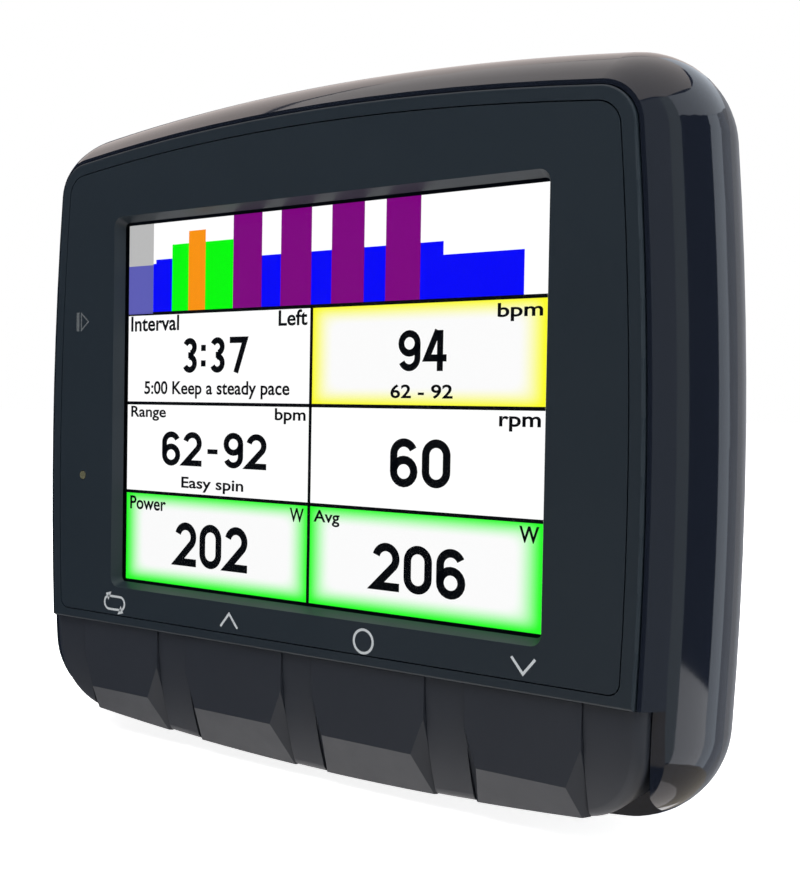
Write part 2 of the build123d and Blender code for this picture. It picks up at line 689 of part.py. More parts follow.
NODES = {
    "rear_housing": rear_housing,
    "housing_seal": housing_seal,
    "front_bezel": front_bezel,
    "faceplate": faceplate,
    "display_window": display_window,
    "lcd_panel": lcd_panel,
    "backlight": backlight,
    "display_tray": display_tray,
    "light_pipe": light_pipe,
    "button_bar": button_bar,
    "keypad_membrane": keypad_membrane,
    "dome_switches": dome_switches,
    "keypad_board": keypad_board,
    "keypad_flex": keypad_flex,
    "keypad_connector": keypad_connector,
    "chassis": chassis,
    "main_board": main_board,
    "processor": processor,
    "shield_can": shield_can,
    "satellite_antenna": satellite_antenna,
    "buzzer": buzzer,
    "pressure_sensor": pressure_sensor,
    "light_sensor": light_sensor,
    "side_switch": side_switch,
    "flex_connector": flex_connector,
    "display_flex": display_flex,
    "battery": battery,
    "battery_pad": battery_pad,
    "vent_membrane": vent_membrane,
    "start_button": start_button,
    "usb_socket": usb_socket,
    "usb_board": usb_board,
    "usb_cover": usb_cover,
    "mount_puck": mount_puck,
    "housing_screws": housing_screws,
    "mount_screws": mount_screws,
}


def save(node, shape):
    """Write one node, a single solid or a group of separate solids."""
    solids = shape if isinstance(shape, list) else [shape]
    solids = [solid for part in solids for solid in part.solids()]
    group = solids[0] if len(solids) == 1 else Compound(children=solids)
    export_step(group, f"parts/{node}.step")
    size = group.bounding_box().size
    print(f"{node}: {len(solids)} solid(s), {size.X:.2f} x {size.Y:.2f} x {size.Z:.2f}")


os.makedirs("parts", exist_ok=True)
for node, build in NODES.items():
    save(node, build())
for index, node in enumerate(PAD_NODES):
    save(node, pad(index))
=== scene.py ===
import json
from math import cos, radians, sin

import bmesh
import bpy
from mathutils import Matrix, Vector

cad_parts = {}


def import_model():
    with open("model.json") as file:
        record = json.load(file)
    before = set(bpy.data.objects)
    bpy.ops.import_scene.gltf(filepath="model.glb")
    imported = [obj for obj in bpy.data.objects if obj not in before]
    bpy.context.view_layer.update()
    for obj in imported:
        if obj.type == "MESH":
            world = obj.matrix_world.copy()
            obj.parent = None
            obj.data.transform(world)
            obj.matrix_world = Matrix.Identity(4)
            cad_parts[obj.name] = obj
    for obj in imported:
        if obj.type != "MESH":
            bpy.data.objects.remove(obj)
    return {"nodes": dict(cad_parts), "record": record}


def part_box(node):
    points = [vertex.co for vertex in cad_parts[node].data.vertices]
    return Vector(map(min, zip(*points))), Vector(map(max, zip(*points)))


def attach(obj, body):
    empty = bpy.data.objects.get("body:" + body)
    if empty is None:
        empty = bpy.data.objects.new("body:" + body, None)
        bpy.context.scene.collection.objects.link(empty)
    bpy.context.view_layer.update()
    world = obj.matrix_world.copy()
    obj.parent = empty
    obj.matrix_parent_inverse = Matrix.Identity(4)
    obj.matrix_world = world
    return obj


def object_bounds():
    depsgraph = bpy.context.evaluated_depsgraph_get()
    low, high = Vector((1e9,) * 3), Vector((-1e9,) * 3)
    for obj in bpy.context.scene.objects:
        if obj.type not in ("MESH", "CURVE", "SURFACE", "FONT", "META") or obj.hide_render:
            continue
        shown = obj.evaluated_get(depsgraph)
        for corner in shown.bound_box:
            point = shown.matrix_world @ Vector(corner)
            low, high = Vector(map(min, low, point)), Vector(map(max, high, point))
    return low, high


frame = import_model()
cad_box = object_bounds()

MM = 0.001
CASE = "case"

# ---- edges -----------------------------------------------------------------------------------
BEZEL_EDGE = 0.06 * MM
HOUSING_EDGE = 0.08 * MM
EDGE_SEGMENTS = 3
EDGE_ANGLE = 32             # degrees between faces that get a rounded edge

# ---- the display and its flat pieces ---------------------------------------------------------
SCREEN_W = 44.7 * MM        # lit area
SCREEN_H = 33.5 * MM
LAYER = 0.012 * MM          # one drawing level above the panel
TEXT_LEVEL = 4
PLATE_T = 0.004 * MM        # thickness of a flat piece
ROW_V = (0.25, 0.5, 0.75, 1.0)      # lower edge of each row of fields, in screen heights
SPLIT_U = 0.5                       # between the two columns, in screen widths
LINE_U = 0.0035                     # half the width of a rule
LINE_V = 0.0045
WHITE_GLOW = 1.08           # a little over full, so that the paper stays pure white
LIT_BASE = (0.003, 0.003, 0.003, 1)

# ---- studio ----------------------------------------------------------------------------------
FLOOR_SIZE = 6.0
FLOOR_GLOW = 0.85
FLOOR_GAP = 0.4 * MM        # the ground lies this far below the object
SOFT_FILL = (0.30, 0.30, 0.31)      # what the surroundings give to matt surfaces
DIM_ROOM = (0.03, 0.045, 0.08)      # what glossy surfaces mirror between the cards
CARD_STEPS = 8              # facets along each side of a reflection card
CARD_DISTANCE = 0.6

# ---- the photograph's view, solved from the display's corners --------------------------------
CAMERA_AZIMUTH = 34.86      # degrees, from the screen's side towards +X
CAMERA_ELEVATION = 1.46
CAMERA_ROLL = 0.989
CAMERA_SENSOR = 36
CAMERA_LENS = 48.75
CAMERA_NEAR = 0.005
CAMERA_FROM_GLASS = (64.109 * MM, -78.606 * MM, -0.334 * MM)
GLASS_DEPTH = 1.2 * MM      # the point it is measured from, behind the face

# ---- places read from the CAD frame ----------------------------------------------------------
lcd_low, lcd_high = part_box("lcd_panel")
face_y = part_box("faceplate")[0][1]
glass_y = lcd_low[1]
screen_x = (lcd_low[0] + lcd_high[0]) / 2
screen_z = (lcd_low[2] + lcd_high[2]) / 2


# ---- node helpers ----------------------------------------------------------------------------
COAT_ROUGHNESS = 0.04
LIT_ROUGHNESS = 0.4
CELL_GRAIN = 7000           # features per metre of the lit panel
WINDOW_IOR = 1.45


def new_material(name):
    """A node material with its shader, ready for more nodes."""
    material = bpy.data.materials.new(name)
    material.use_nodes = True
    tree = material.node_tree
    return material, tree, tree.nodes["Principled BSDF"]


def arithmetic(tree, operation, *values):
    """Arithmetic on sockets and plain numbers."""
    node = tree.nodes.new("ShaderNodeMath")
    node.operation = operation
    for k, value in enumerate(values):
        if isinstance(value, float):
            node.inputs[k].default_value = value
        else:
            tree.links.new(value, node.inputs[k])
    return node.outputs[0]


def object_coords(tree):
    """Object space, so that a pattern keeps its size on every piece."""
    return tree.nodes.new("ShaderNodeTexCoord").outputs["Object"]


def noise(tree, scale, detail=3.0):
    """Noise in object space; scale is features per metre."""
    node = tree.nodes.new("ShaderNodeTexNoise")
    node.inputs["Scale"].default_value = scale
    node.inputs["Detail"].default_value = detail
    tree.links.new(object_coords(tree), node.inputs["Vector"])
    return node.outputs["Fac"]


def remap(tree, value, low, high):
    """A 0 to 1 value spread between two numbers."""
    node = tree.nodes.new("ShaderNodeMapRange")
    node.inputs["To Min"].default_value = low
    node.inputs["To Max"].default_value = high
    tree.links.new(value, node.inputs["Value"])
    return node.outputs["Result"]


def mix_colour(tree, factor, first, second):
    """Blend of two colours, each a tuple or a socket."""
    node = tree.nodes.new("ShaderNodeMix")
    node.data_type = "RGBA"
    for socket, colour in (("A", first), ("B", second)):
        target = [i for i in node.inputs if i.name == socket and i.type == "RGBA"][0]
        if isinstance(colour, tuple):
            target.default_value = (*colour, 1.0)
        else:
            tree.links.new(colour, target)
    factor_socket = [i for i in node.inputs if i.name == "Factor" and i.type == "VALUE"][0]
    tree.links.new(factor, factor_socket)
    return [o for o in node.outputs if o.type == "RGBA"][0]


def bump(tree, height, distance):
    """Relief of a given height, in metres."""
    node = tree.nodes.new("ShaderNodeBump")
    node.inputs["Strength"].default_value = 1.0
    node.inputs["Distance"].default_value = distance
    tree.links.new(height, node.inputs["Height"])
    return node.outputs["Normal"]


def surface(name, colour, other, roughness, grain=9000, grain_height=0.01 * MM, metallic=0.0,
            coat=0.0, patch=120, specular=0.5):
    """A moulded, cast or rolled surface: tone patches, fine grain and uneven roughness."""
    material, tree, shader = new_material(name)
    tone = noise(tree, patch, 4)
    tree.links.new(mix_colour(tree, tone, colour, other), shader.inputs["Base Color"])
    low, high = roughness
    rough = remap(tree, noise(tree, patch * 5, 5), low, high)
    tree.links.new(rough, shader.inputs["Roughness"])
    tree.links.new(bump(tree, noise(tree, grain, 2), grain_height), shader.inputs["Normal"])
    shader.inputs["Metallic"].default_value = metallic
    shader.inputs["Coat Weight"].default_value = coat
    shader.inputs["Coat Roughness"].default_value = COAT_ROUGHNESS
    shader.inputs["Specular IOR Level"].default_value = specular
    return material


def lit(name, colour, strength=1.0):
    """A lit display colour, with the faint cell pattern of the panel."""
    material, tree, shader = new_material(name)
    shader.inputs["Base Color"].default_value = LIT_BASE
    shader.inputs["Roughness"].default_value = LIT_ROUGHNESS
    shader.inputs["Specular IOR Level"].default_value = 0.0
    shader.inputs["Emission Strength"].default_value = strength
    dim = tuple(0.97 * c for c in colour)
    grain = noise(tree, CELL_GRAIN, 0)
    tree.links.new(mix_colour(tree, grain, dim, colour), shader.inputs["Emission Color"])
    return material


def linear(red, green, blue):
    """sRGB 0-255 to linear."""
    values = []
    for channel in (red, green, blue):
        c = channel / 255
        values.append(c / 12.92 if c <= 0.04045 else ((c + 0.055) / 1.055) ** 2.4)
    return tuple(values)


MATERIALS = {
    "gloss_shell": surface(
        "gloss_shell", (0.0035, 0.0045, 0.0075), (0.0045, 0.0055, 0.0085), (0.04, 0.08),
        grain=2500, grain_height=0.0006 * MM, coat=0.3,
    ),
    "slate_plastic": surface(
        "slate_plastic", (0.0062, 0.0104, 0.0145), (0.0076, 0.0122, 0.0165), (0.42, 0.5),
        grain=14000, grain_height=0.004 * MM,
    ),
    "button_rubber": surface(
        "button_rubber", (0.0100, 0.0118, 0.0160), (0.0118, 0.0138, 0.0185), (0.42, 0.55),
        grain=12000, grain_height=0.006 * MM,
    ),
    "seal_rubber": surface("seal_rubber", (0.012, 0.012, 0.013), (0.02, 0.02, 0.02), (0.6, 0.8)),
    "display_glass": surface(
        "display_glass", (0.004, 0.004, 0.005), (0.006, 0.006, 0.007), (0.25, 0.35)
    ),
    "diffuser": surface("diffuser", (0.8, 0.8, 0.8), (0.7, 0.7, 0.7), (0.5, 0.7)),
    "sheet_steel": surface(
        "sheet_steel", (0.55, 0.55, 0.56), (0.45, 0.45, 0.46), (0.25, 0.4), metallic=1.0
    ),
    "circuit_board": surface("circuit_board", (0.01, 0.09, 0.035), (0.015, 0.12, 0.05), (0.3, 0.45)),
    "chip_black": surface("chip_black", (0.012, 0.012, 0.013), (0.02, 0.02, 0.02), (0.5, 0.7)),
    "ceramic": surface("ceramic", (0.6, 0.55, 0.42), (0.5, 0.46, 0.36), (0.4, 0.6)),
    "polyimide": surface("polyimide", (0.4, 0.14, 0.02), (0.32, 0.1, 0.015), (0.2, 0.35)),
    "chassis_plastic": surface("chassis_plastic", (0.02, 0.02, 0.022), (0.03, 0.03, 0.032), (0.5, 0.7)),
    "cell_foil": surface("cell_foil", (0.6, 0.6, 0.62), (0.5, 0.5, 0.52), (0.2, 0.35), metallic=1.0),
    "foam": surface(
        "foam", (0.02, 0.02, 0.02), (0.035, 0.035, 0.035), (0.8, 0.95),
        grain=3000, grain_height=0.05 * MM,
    ),
    "vent_film": surface("vent_film", (0.7, 0.7, 0.68), (0.6, 0.6, 0.58), (0.7, 0.9)),
    "mount_plastic": surface("mount_plastic", (0.014, 0.014, 0.015), (0.02, 0.02, 0.021), (0.35, 0.5)),
    "screw_steel": surface(
        "screw_steel", (0.35, 0.35, 0.36), (0.25, 0.25, 0.26), (0.25, 0.4), metallic=1.0
    ),
    "socket_steel": surface("socket_steel", (0.6, 0.6, 0.6), (0.5, 0.5, 0.5), (0.2, 0.35), metallic=1.0),
    "clear_plastic": surface("clear_plastic", linear(72, 70, 52), linear(60, 60, 46), (0.2, 0.3)),
}


def window_material():
    """Clear cover glass with a faint haze of handling marks."""
    material, tree, shader = new_material("window_glass")
    shader.inputs["Base Color"].default_value = (1, 1, 1, 1)
    shader.inputs["Transmission Weight"].default_value = 1.0
    shader.inputs["IOR"].default_value = WINDOW_IOR
    rough = remap(tree, noise(tree, 300, 5), 0.0, 0.015)
    tree.links.new(rough, shader.inputs["Roughness"])
    return material


MATERIALS["window_glass"] = window_material()

for part in frame["record"]["subparts"]:
    node = frame["nodes"][part["node"]]
    node.data.materials.clear()
    node.data.materials.append(MATERIALS[part["material_slot"]])


def soften(node_name, width):
    """Small rounded edges on a CAD node."""
    node = frame["nodes"][node_name]
    bevel = node.modifiers.new("edges", "BEVEL")
    bevel.width = width
    bevel.segments = EDGE_SEGMENTS
    bevel.limit_method = "ANGLE"
    bevel.angle_limit = radians(EDGE_ANGLE)
    bevel.harden_normals = True


# ---- flat pieces on the front ----------------------------------------------------------------
def piece(name, mesh, material):
    """A visible piece that rides on the case."""
    obj = bpy.data.objects.new(name, mesh)
    bpy.context.scene.collection.objects.link(obj)
    mesh.materials.append(material)
    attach(obj, CASE)
    return obj


def flat_mesh(name, polygons, y, thickness=PLATE_T):
    """Thin plates in the XZ plane, each given by its outline in order."""
    mesh = bpy.data.meshes.new(name)
    bm = bmesh.new()
    for points in polygons:
        front = [bm.verts.new((x, y - thickness, z)) for x, z in points]
        back = [bm.verts.new((x, y, z)) for x, z in points]
        count = len(points)
        bm.faces.new(front)
        bm.faces.new(list(reversed(back)))
        for k in range(count):
            nxt = (k + 1) % count
            bm.faces.new((front[nxt], front[k], back[k], back[nxt]))
    bmesh.ops.recalc_face_normals(bm, faces=bm.faces)
    bm.to_mesh(mesh)
    bm.free()
    return mesh


def rect(x0, z0, x1, z1):
    """Corners of an upright rectangle, in order."""
    return [(x0, z0), (x1, z0), (x1, z1), (x0, z1)]


def on_screen(u, v):
    """Screen fractions, from the top left corner, to X and Z."""
    return (screen_x + (u - 0.5) * SCREEN_W, screen_z + (0.5 - v) * SCREEN_H)


def screen_rect(u0, v0, u1, v1):
    x0, z1 = on_screen(u0, v0)
    x1, z0 = on_screen(u1, v1)
    return rect(x0, z0, x1, z1)


WHITE = lit("screen_white", (1.0, 1.0, 1.0), WHITE_GLOW)
BLACK = lit("screen_black", (0.0, 0.0, 0.0), 0.0)
BLUE = lit("screen_blue", linear(0, 0, 255))
PURPLE = lit("screen_purple", linear(128, 0, 128))
GREEN = lit("screen_green", linear(0, 255, 0))
ORANGE = lit("screen_orange", linear(255, 150, 10))
GREY = lit("screen_grey", linear(190, 190, 190))
VIOLET = lit("screen_violet", linear(96, 96, 184))


def plate(name, boxes, material, level):
    """Lit rectangles on the panel, at a drawing level."""
    polygons = [screen_rect(*box) for box in boxes]
    mesh = flat_mesh(name, polygons, glass_y - level * LAYER)
    return piece(name, mesh, material)


def bars(name, spans, top, material):
    """Columns of the workout graph: spans across, one top edge, down to the first rule."""
    boxes = [(left, top, right, ROW_V[0]) for left, right in spans]
    return plate(name, boxes, material, 2)


plate("screen_paper", [(0, 0, 1, 1)], WHITE, 1)
DONE_U = 0.073          # the part already ridden, greyed
FIRST_U = 0.081         # the warm-up stairs start here
STEP_U = 0.047          # one step of the stairs
BLOCK_U = 0.0755        # one hard interval
REST_U = 0.0485         # one rest between them
BLOCKS = 4
COOL_U = 0.955          # end of the cool-down
interval_u = FIRST_U + 3 * STEP_U + BLOCK_U
hard, rest = [], []
for k in range(BLOCKS):
    left = interval_u + k * (BLOCK_U + REST_U)
    hard.append((left, left + BLOCK_U))
    rest.append((left + BLOCK_U, left + BLOCK_U + REST_U))
bars("screen_hard_bars", hard, 0.0, PURPLE)
bars("screen_rest_bars", rest + [(DONE_U, FIRST_U)], 0.112, BLUE)
bars("screen_cool_bar", [(rest[-1][1], COOL_U)], 0.144, BLUE)
bars("screen_first_bar", [(FIRST_U, FIRST_U + STEP_U)], 0.101, BLUE)
bars("screen_green_bars", [
    (FIRST_U + STEP_U, FIRST_U + 2 * STEP_U),
    (FIRST_U + 3 * STEP_U, interval_u),
], 0.063, GREEN)
bars("screen_orange_bar", [(FIRST_U + 2 * STEP_U, FIRST_U + 3 * STEP_U)], 0.03, ORANGE)
bars("screen_done_top", [(0.0, DONE_U)], 0.0, GREY)
plate("screen_done_bar", [(0.0, 0.115, DONE_U, ROW_V[0])], VIOLET, 3)


GLOW_HEIGHT = 0.55      # a field's height over its width
GLOW_CORNER = 0.08
GLOW_REACH = 0.11       # the rim has faded to white this far in, in field widths


def glow_material(name, colour):
    """A field whose rim glows in a colour and fades to white inside."""
    material, tree, shader = new_material(name)
    shader.inputs["Base Color"].default_value = LIT_BASE
    shader.inputs["Roughness"].default_value = LIT_ROUGHNESS
    shader.inputs["Specular IOR Level"].default_value = 0.0
    shader.inputs["Emission Strength"].default_value = 1.0
    coords = tree.nodes.new("ShaderNodeTexCoord").outputs["Generated"]
    split = tree.nodes.new("ShaderNodeSeparateXYZ")
    tree.links.new(coords, split.inputs[0])
    edges = []
    for axis, length in (("X", 1.0), ("Z", GLOW_HEIGHT)):
        centred = arithmetic(tree, "SUBTRACT", split.outputs[axis], 0.5)
        inward = arithmetic(tree, "SUBTRACT", 0.5, arithmetic(tree, "ABSOLUTE", centred))
        edges.append(arithmetic(tree, "MULTIPLY", inward, length))
    nearest = arithmetic(tree, "SMOOTH_MIN", *edges, GLOW_CORNER)
    fade = tree.nodes.new("ShaderNodeMapRange")
    fade.interpolation_type = "SMOOTHSTEP"
    fade.inputs["From Min"].default_value = 0.0
    fade.inputs["From Max"].default_value = GLOW_REACH
    tree.links.new(nearest, fade.inputs["Value"])
    mixed = mix_colour(tree, fade.outputs["Result"], colour, (1.0, 1.0, 1.0))
    tree.links.new(mixed, shader.inputs["Emission Color"])
    return material


YELLOW_GLOW = glow_material("screen_yellow_glow", linear(255, 255, 40))
GREEN_GLOW = glow_material("screen_green_glow", linear(40, 255, 40))
plate("screen_field_r1", [(SPLIT_U, ROW_V[0], 1.0, ROW_V[1])], YELLOW_GLOW, 2)
plate("screen_field_l3", [(0.0, ROW_V[2], SPLIT_U, ROW_V[3])], GREEN_GLOW, 2)
plate("screen_field_r3", [(SPLIT_U, ROW_V[2], 1.0, ROW_V[3])], GREEN_GLOW, 2)
rules = [(0, v - LINE_V, 1, v + LINE_V) for v in ROW_V[:3]]
rules.append((SPLIT_U - LINE_U, ROW_V[0], SPLIT_U + LINE_U, 1))
plate("screen_rules", rules, BLACK, 3)


# ---- numbers on the display ------------------------------------------------------------------
DIGIT_W = 0.66          # digits are drawn one unit high
DIGIT_STROKE = 0.175
DIGIT_GAP = 0.10
COLON_Z = (0.18, 0.62)      # feet of its dots
DASH_W, DASH_SPACE = 0.35, 0.1
DASH_Z, DASH_STROKE = 0.38, 0.14
half_stroke = DIGIT_STROKE / 2
bowl = DIGIT_W / 2 - half_stroke
low_bowl = half_stroke + bowl
top_bowl = 1 - low_bowl


def arc(cx, cz, radius, start, end, steps=20):
    """Points on a circular arc, angles in degrees."""
    angles = [radians(start + (end - start) * k / steps) for k in range(steps + 1)]
    return [(cx + radius * cos(a), cz + radius * sin(a)) for a in angles]


def strip(points, width, closed=False):
    """Quads along a path with mitred joints, so that no two quads overlap."""
    count = len(points)
    sides = []
    for k, (x, z) in enumerate(points):
        before = points[k - 1] if k > 0 or closed else None
        after = points[(k + 1) % count] if k < count - 1 or closed else None
        here = Vector((x, z))
        into = (here - Vector(before)).normalized() if before else None
        out = (Vector(after) - here).normalized() if after else None
        into = into or out
        out = out or into
        along = (into + out).normalized()
        normal = Vector((-along.y, along.x))
        reach = width / 2 / max(0.35, normal.dot(Vector((-out.y, out.x))))
        sides.append((here - normal * reach, here + normal * reach))
    quads = []
    for k in range(count if closed else count - 1):
        a, b = sides[k], sides[(k + 1) % count]
        quads.append([tuple(a[0]), tuple(b[0]), tuple(b[1]), tuple(a[1])])
    return quads


def digit_paths(sign):
    """Centre lines of one digit, as (points, closed) pairs."""
    middle = DIGIT_W / 2
    left, right = half_stroke, DIGIT_W - half_stroke
    if sign == "0":
        ring = arc(middle, top_bowl, bowl, 0, 180) + arc(middle, low_bowl, bowl, 180, 360)
        return [(ring, True)]
    if sign == "2":
        foot = [(left, half_stroke), (DIGIT_W, half_stroke)]
        return [(arc(middle, top_bowl, bowl, 165, -38) + foot, False)]
    if sign == "3":
        upper = arc(middle, 0.735, 0.265 - half_stroke, 155, -80)
        lower = arc(middle, 0.275, 0.275 - half_stroke, 95, -155)
        return [(upper, False), (lower, False), ([(0.27, 0.505), (0.42, 0.505)], False)]
    if sign == "4":
        slope = [(0.40, 1.0), (left, 0.32), (DIGIT_W, 0.32)]
        return [(slope, False), ([(0.47, 0.0), (0.47, 1.0)], False)]
    if sign == "7":
        return [([(0.02, 1 - half_stroke), (right, 1 - half_stroke), (0.25, 0.0)], False)]
    if sign == "1":
        return [([(0.12, 0.78), (0.38, 0.9), (0.38, 0.0)], False)]
    ring = arc(middle, 0.31, bowl, 0, 360)[:-1]
    hook = arc(middle, top_bowl, bowl, 25, 180) + [(left, 0.31)]
    paths = [(ring, True), (hook, False)]
    if sign == "9":
        flipped = []
        for points, closed in paths:
            flipped.append(([(DIGIT_W - x, 1 - z) for x, z in points], closed))
        return flipped
    return paths


def number_plates(words):
    """Plates of a row of digits one unit high, and the width of the row."""
    plates, x = [], 0.0
    for sign in words:
        if sign == ":":
            for z in COLON_Z:
                plates.append(rect(x, z, x + DIGIT_STROKE, z + DIGIT_STROKE))
            x += DIGIT_STROKE + DIGIT_GAP
        elif sign == "-":
            dash_x = x + DASH_SPACE
            plates.append(rect(dash_x, DASH_Z, dash_x + DASH_W, DASH_Z + DASH_STROKE))
            x += DASH_W + 2 * DASH_SPACE + DIGIT_GAP
        else:
            for points, closed in digit_paths(sign):
                for quad in strip(points, DIGIT_STROKE, closed):
                    plates.append([(x + px, pz) for px, pz in quad])
            x += DIGIT_W + DIGIT_GAP
    return plates, x - DIGIT_GAP


def number(name, words, u0, v0, u1, v1):
    """A reading fitted to a box in screen fractions."""
    plates, width = number_plates(words)
    x0, z1 = on_screen(u0, v0)
    x1, z0 = on_screen(u1, v1)
    fitted = []
    for points in plates:
        fitted.append([(x0 + (x1 - x0) * px / width, z0 + (z1 - z0) * pz) for px, pz in points])
    return piece(name, flat_mesh(name, fitted, glass_y - TEXT_LEVEL * LAYER), BLACK)


READINGS = [
    ("3:37", 0.157, 0.321, 0.339, 0.416),
    ("94", 0.701, 0.319, 0.804, 0.415),
    ("62-92", 0.105, 0.577, 0.392, 0.670),
    ("60", 0.687, 0.575, 0.816, 0.690),
    ("202", 0.146, 0.825, 0.346, 0.945),
    ("206", 0.651, 0.829, 0.851, 0.945),
]
for k, reading in enumerate(READINGS):
    number(f"screen_number_{k}", *reading)


LETTER_WEIGHT = 0.02        # thickens the strokes, in letter heights
LETTER_STEPS = 4


def label(name, words, u0, v0, u1, v1):
    """Small lettering fitted to a box in screen fractions."""
    curve = bpy.data.curves.new(name, "FONT")
    curve.body = words
    curve.offset = LETTER_WEIGHT
    curve.resolution_u = LETTER_STEPS
    holder = bpy.data.objects.new(name + "_text", curve)
    bpy.context.scene.collection.objects.link(holder)
    bpy.context.view_layer.update()
    mesh = bpy.data.meshes.new_from_object(holder)
    bpy.data.objects.remove(holder)
    xs = [vertex.co.x for vertex in mesh.vertices]
    ys = [vertex.co.y for vertex in mesh.vertices]
    x0, z1 = on_screen(u0, v0)
    x1, z0 = on_screen(u1, v1)
    for vertex in mesh.vertices:
        across = (vertex.co.x - min(xs)) / (max(xs) - min(xs))
        rise = (vertex.co.y - min(ys)) / (max(ys) - min(ys))
        vertex.co = (x0 + (x1 - x0) * across, glass_y - TEXT_LEVEL * LAYER, z0 + (z1 - z0) * rise)
    mesh.name = name
    return piece(name, mesh, BLACK)


LABELS = [
    ("Interval", 0.008, 0.256, 0.150, 0.299),
    ("Left", 0.418, 0.256, 0.490, 0.297),
    ("5:00 Keep a steady pace", 0.050, 0.438, 0.448, 0.486),
    ("bpm", 0.905, 0.262, 0.992, 0.304),
    ("62 - 92", 0.685, 0.446, 0.818, 0.480),
    ("Range", 0.011, 0.508, 0.115, 0.549),
    ("bpm", 0.412, 0.508, 0.489, 0.549),
    ("Easy spin", 0.162, 0.700, 0.333, 0.740),
    ("rpm", 0.912, 0.517, 0.992, 0.552),
    ("Power", 0.011, 0.762, 0.118, 0.800),
    ("W", 0.453, 0.762, 0.488, 0.798),
    ("Avg", 0.512, 0.762, 0.574, 0.802),
    ("W", 0.955, 0.762, 0.993, 0.800),
]
for k, entry in enumerate(LABELS):
    label(f"screen_label_{k:02d}", *entry)


# ---- printed marks on the faceplate ----------------------------------------------------------
PRINT = surface("print_white", linear(142, 146, 148), linear(132, 136, 138), (0.5, 0.6))
PRINT_DIM = surface("print_dim", linear(70, 74, 76), linear(62, 66, 68), (0.5, 0.6))
MARK_Z = screen_z - 19.0 * MM
STROKE = 0.21 * MM
HALF_PITCH = 7.35 * MM      # the marks stand over the four pads
CHEVRON = 1.0 * MM          # half its width
CHEVRON_RISE = 0.6 * MM     # half its height
RING_R = 0.95 * MM
HOOK = 0.62 * MM            # radius of the lap sign's round end


def mark(name, polygons, material=PRINT):
    """Flat print on the faceplate."""
    return piece(name, flat_mesh(name, polygons, face_y), material)


def chevron(name, cx, rise):
    """An arrowhead that points up, or down if the rise is negative."""
    path = [(cx - CHEVRON, MARK_Z - rise), (cx, MARK_Z + rise), (cx + CHEVRON, MARK_Z - rise)]
    mark(name, strip(path, STROKE))


def lap_hook(cx, cz, turn):
    """Half a lap sign: a line with a round end and an arrowhead; turn is 1, or -1 upside down."""
    path = [(-0.9 * MM, HOOK)] + arc(0.75 * MM, 0, HOOK, 90, -60, 10)
    head = [(0.45 * MM, -1.05 * MM), (1.2 * MM, -0.85 * MM), (0.85 * MM, -0.2 * MM)]
    quads = strip(path, STROKE) + [head]
    return [[(cx + turn * x, cz + turn * z) for x, z in quad] for quad in quads]


chevron("mark_up", -HALF_PITCH, CHEVRON_RISE)
chevron("mark_down", 3 * HALF_PITCH, -CHEVRON_RISE)
ring = arc(HALF_PITCH, MARK_Z, RING_R, 0, 360, 32)[:-1]
mark("mark_select", strip(ring, STROKE, closed=True))
mark("mark_lap", lap_hook(-3 * HALF_PITCH, MARK_Z, 1) + lap_hook(-3 * HALF_PITCH, MARK_Z, -1))

# the start sign on the left of the face: a bar and a hollow triangle
START_X, START_Z = -27.05 * MM, screen_z + 7.75 * MM
START_BAR_X, START_BAR_W, START_BAR_RISE = START_X - 0.8 * MM, 0.4 * MM, 0.9 * MM
TRIANGLE_X, TRIANGLE_W, TRIANGLE_RISE = START_X - 0.1 * MM, 1.0 * MM, 0.8 * MM
TRIANGLE_STROKE = 0.15 * MM
start_bar = rect(
    START_BAR_X, START_Z - START_BAR_RISE, START_BAR_X + START_BAR_W, START_Z + START_BAR_RISE
)
triangle = [
    (TRIANGLE_X, START_Z - TRIANGLE_RISE),
    (TRIANGLE_X + TRIANGLE_W, START_Z),
    (TRIANGLE_X, START_Z + TRIANGLE_RISE),
]
mark("mark_start_bar", [start_bar], PRINT_DIM)
mark("mark_start_triangle", strip(triangle, TRIANGLE_STROKE, closed=True), PRINT_DIM)


# ---- studio ----------------------------------------------------------------------------------
def floor():
    """Plain pale ground, lit evenly enough to run into the background."""
    mesh = bpy.data.meshes.new("floor")
    bm = bmesh.new()
    bmesh.ops.create_grid(bm, x_segments=1, y_segments=1, size=FLOOR_SIZE)
    bm.to_mesh(mesh)
    bm.free()
    obj = bpy.data.objects.new("floor", mesh)
    obj.location.z = cad_box[0][2] - FLOOR_GAP
    bpy.context.scene.collection.objects.link(obj)
    paper = surface(
        "floor_white", (0.86, 0.86, 0.86), (0.84, 0.84, 0.84), (0.8, 0.9),
        patch=3, grain=200, specular=0.0,
    )
    shader = paper.node_tree.nodes["Principled BSDF"]
    shader.inputs["Emission Color"].default_value = (1, 1, 1, 1)
    shader.inputs["Emission Strength"].default_value = FLOOR_GLOW
    mesh.materials.append(paper)
    obj.visible_glossy = False


def direction(azimuth, elevation):
    """Unit vector; azimuth is measured from the screen's side towards +X."""
    a, e = radians(azimuth), radians(elevation)
    return Vector((sin(a) * cos(e), -cos(a) * cos(e), sin(e)))


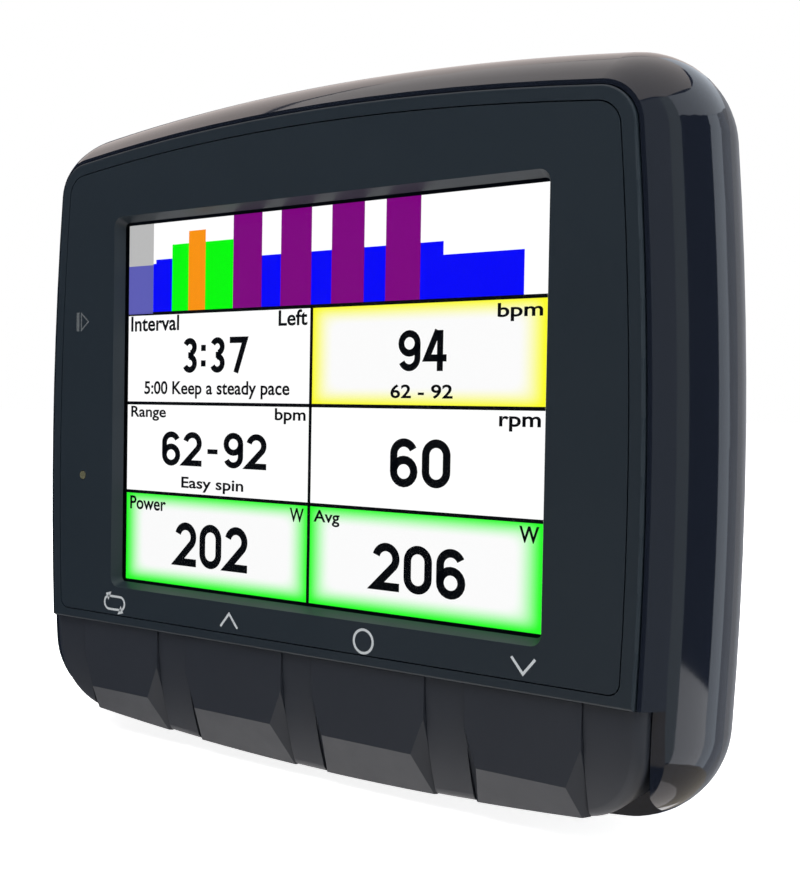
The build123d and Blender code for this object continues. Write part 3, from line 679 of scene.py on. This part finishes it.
def card(name, azimuths, elevations, glow, distance=CARD_DISTANCE, tilt=0.0):
    """A glowing card that only shows in reflections, as a patch of a sphere round the object.

    Angles are in degrees; tilt lowers or lifts one side of it against the other."""
    material = bpy.data.materials.new(name)
    material.use_nodes = True
    tree = material.node_tree
    tree.nodes.clear()
    emission = tree.nodes.new("ShaderNodeEmission")
    emission.inputs["Color"].default_value = (*glow, 1.0)
    output = tree.nodes.new("ShaderNodeOutputMaterial")
    tree.links.new(emission.outputs[0], output.inputs["Surface"])
    mesh = bpy.data.meshes.new(name)
    bm = bmesh.new()
    grid = []
    for i in range(CARD_STEPS + 1):
        rise = elevations[0] + (elevations[1] - elevations[0]) * i / CARD_STEPS
        row = []
        for j in range(CARD_STEPS + 1):
            azimuth = azimuths[0] + (azimuths[1] - azimuths[0]) * j / CARD_STEPS
            elevation = rise + tilt * (j / CARD_STEPS - 0.5)
            row.append(bm.verts.new(direction(azimuth, elevation) * distance))
        grid.append(row)
    for i in range(CARD_STEPS):
        for j in range(CARD_STEPS):
            bm.faces.new((grid[i][j], grid[i][j + 1], grid[i + 1][j + 1], grid[i + 1][j]))
    bm.to_mesh(mesh)
    bm.free()
    mesh.materials.append(material)
    obj = bpy.data.objects.new(name, mesh)
    bpy.context.scene.collection.objects.link(obj)
    obj.visible_camera = False
    obj.visible_diffuse = False
    obj.visible_transmission = False
    obj.visible_shadow = False


def area_light(name, azimuth, elevation, distance, size, power):
    """A soft light that leaves no reflection of its own."""
    data = bpy.data.lights.new(name, "AREA")
    data.shape = "RECTANGLE"
    data.size, data.size_y = size
    data.energy = power
    obj = bpy.data.objects.new(name, data)
    obj.location = direction(azimuth, elevation) * distance
    obj.rotation_euler = (-obj.location).to_track_quat("-Z", "Y").to_euler()
    obj.visible_glossy = False
    bpy.context.scene.collection.objects.link(obj)


def world():
    """White behind the object, dim in reflections and grey for soft fill."""
    scene_world = bpy.data.worlds.new("studio")
    bpy.context.scene.world = scene_world
    scene_world.use_nodes = True
    tree = scene_world.node_tree
    background = tree.nodes["Background"]
    path = tree.nodes.new("ShaderNodeLightPath")
    glossy = mix_colour(tree, path.outputs["Is Glossy Ray"], SOFT_FILL, DIM_ROOM)
    seen = mix_colour(tree, path.outputs["Is Camera Ray"], glossy, (1.0, 1.0, 1.0))
    tree.links.new(seen, background.inputs["Color"])
    background.inputs["Strength"].default_value = 1.0


def camera():
    """The photograph's view."""
    azimuth, elevation, roll = map(radians, (CAMERA_AZIMUTH, CAMERA_ELEVATION, CAMERA_ROLL))
    forward = Vector((-sin(azimuth) * cos(elevation), cos(azimuth) * cos(elevation), -sin(elevation)))
    right = Vector((cos(azimuth), sin(azimuth), 0))
    up = right.cross(forward)
    turned_right = right * cos(roll) + up * sin(roll)
    turned_up = up * cos(roll) - right * sin(roll)
    data = bpy.data.cameras.new("camera")
    data.sensor_width = CAMERA_SENSOR
    data.lens = CAMERA_LENS
    data.clip_start = CAMERA_NEAR
    obj = bpy.data.objects.new("camera", data)
    matrix = Matrix((turned_right, turned_up, -forward)).transposed().to_4x4()
    glass = Vector((screen_x, face_y + GLASS_DEPTH, screen_z))
    matrix.translation = Vector(CAMERA_FROM_GLASS) + glass
    obj.matrix_world = matrix
    bpy.context.scene.collection.objects.link(obj)
    bpy.context.scene.camera = obj


floor()
world()
area_light("key", 20, 60, 0.6, (0.5, 0.5), 6)
area_light("side", 80, 20, 0.6, (0.3, 0.5), 2)
# the side of the housing mirrors these: grey, a dark gap, a bright strip, then grey again
card("card_right", (46, 92), (-33, 47), (0.27, 0.31, 0.36))
card("card_edge", (81, 92), (-33, 47), (0.42, 0.49, 0.52), distance=0.59)
card("card_above_gap", (92, 190), (27, 47), (0.85, 0.92, 1.02))
card("card_below_gap", (92, 126), (-35, -16), (1.35, 1.38, 1.45), tilt=-1.5)
card("card_strip", (125, 141), (-35, 27), (0.85, 0.94, 1.06))
card("card_between", (141, 157), (-35, 27), (0.36, 0.39, 0.45))
card("card_grazing", (157, 190), (-35, 27), (0.34, 0.35, 0.38))
# the shoulder of the housing beside the button bar
card("card_shoulder", (-32, -14), (-33, -17), (0.36, 0.33, 0.30))
# lower edge, top edge and the pads' bevels
card("card_low", (40, 190), (-52, -34), (0.42, 0.38, 0.32), distance=0.59)
card("card_under", (40, 190), (-88, -52), (0.90, 0.84, 0.80), distance=0.58)
card("card_low_front", (-180, 40), (-88, -40), (1.45, 1.41, 1.41), distance=0.58)
card("card_top", (-180, 180), (47, 90), (0.86, 0.80, 0.78), distance=0.62)
card("card_top_left", (-190, -60), (22, 48), (0.80, 0.71, 0.68), distance=0.62)
camera()
bpy.context.scene.view_settings.view_transform = "Standard"
soften("front_bezel", BEZEL_EDGE)
soften("rear_housing", HOUSING_EDGE)
